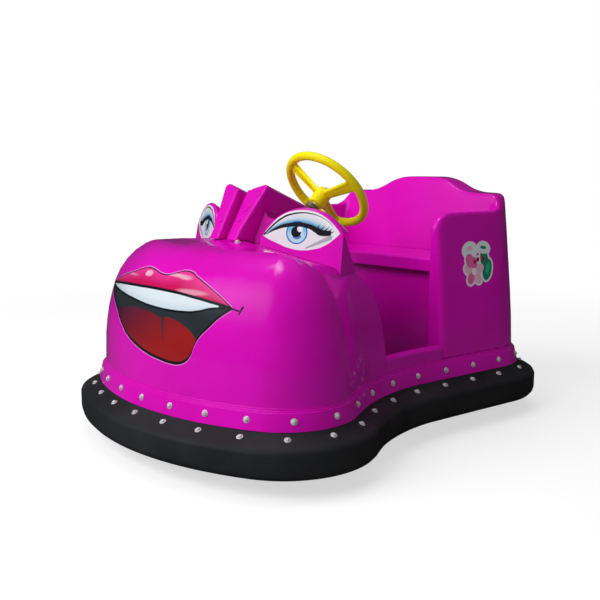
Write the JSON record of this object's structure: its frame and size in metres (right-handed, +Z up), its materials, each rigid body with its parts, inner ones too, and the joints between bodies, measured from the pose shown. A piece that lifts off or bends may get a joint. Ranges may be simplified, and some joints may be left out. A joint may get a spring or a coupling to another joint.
{
  "type": "bumper car",
  "caption": "Fairground bumper car with a rounded nose, raised brow, open two-seat tub, rubber ring and a turning drive wheel under the nose.",
  "frame": {"origin": "on the floor under the middle of the rubber ring's bounding box", "axes": "-Y is forward, +X is the car's left side, +Z is up"},
  "size_m": [1.0674, 1.416, 0.8331],
  "materials": {
    "paint": "high gloss magenta gelcoat on glass fibre",
    "rubber": "matt black",
    "steel": "zinc plated",
    "frame": "satin black",
    "floor": "satin grey",
    "battery": "matt",
    "motor": "satin",
    "yellow": "semi-gloss yellow",
    "tyre": "matt",
    "alloy": "satin"
  },
  "bodies": {
    "chassis": {"rubber_bumper": "rubber", "mounting_band": "steel", "flange_skirt": "paint", "chassis_rails": "frame", "cross_members": "frame", "floor_pan": "floor", "door_sill_left": "paint", "door_sill_right": "paint", "hood": "paint", "cowl": "paint", "fin_left": "paint", "fin_right": "paint", "fin_middle": "paint", "eye_pad_left": "paint", "eye_pad_right": "paint", "seat_shell": "paint", "seat_pan": "paint", "seat_riser": "paint", "battery": "battery", "column_tube": "frame", "column_collar": "frame", "drive_carrier": "frame", "column_stay": "frame", "rear_axle": "steel", "axle_brackets": "frame", "pedal": "steel"},
    "steering_wheel": {"wheel_rim": "yellow", "wheel_hub": "yellow", "steering_shaft": "steel"},
    "drive_fork": {"drive_fork": "steel", "fork_stem": "steel", "drive_pin": "steel", "drive_motor": "motor", "motor_plate": "steel"},
    "drive_wheel": {"drive_tyre": "tyre", "drive_hub": "alloy"},
    "rear_wheel_left": {"rear_tyre_left": "tyre", "rear_hub_left": "alloy"},
    "rear_wheel_right": {"rear_tyre_right": "tyre", "rear_hub_right": "alloy"}
  },
  "joints": [
    {"name": "fork_swivel", "type": "hinge", "parent": "chassis", "child": "drive_fork", "pos_m": [0, -0.3, 0.1], "axis": [0, 0, 1], "continuous": true},
    {"name": "steering_turn", "type": "hinge", "parent": "chassis", "child": "steering_wheel", "pos_m": [0, 0.044, 0.715], "axis": [0, 0.7627, 0.6468], "continuous": true},
    {"name": "drive_roll", "type": "hinge", "parent": "drive_fork", "child": "drive_wheel", "pos_m": [0, -0.3, 0.08], "axis": [1, 0, 0], "continuous": true},
    {"name": "rear_roll_left", "type": "hinge", "parent": "chassis", "child": "rear_wheel_left", "pos_m": [0.3, 0.4, 0.07], "axis": [1, 0, 0], "continuous": true},
    {"name": "rear_roll_right", "type": "hinge", "parent": "chassis", "child": "rear_wheel_right", "pos_m": [-0.3, 0.4, 0.07], "axis": [1, 0, 0], "continuous": true}
  ],
  "couplings": [
    {"joint": "steering_turn", "follows": "fork_swivel", "ratio": 1}
  ]
}
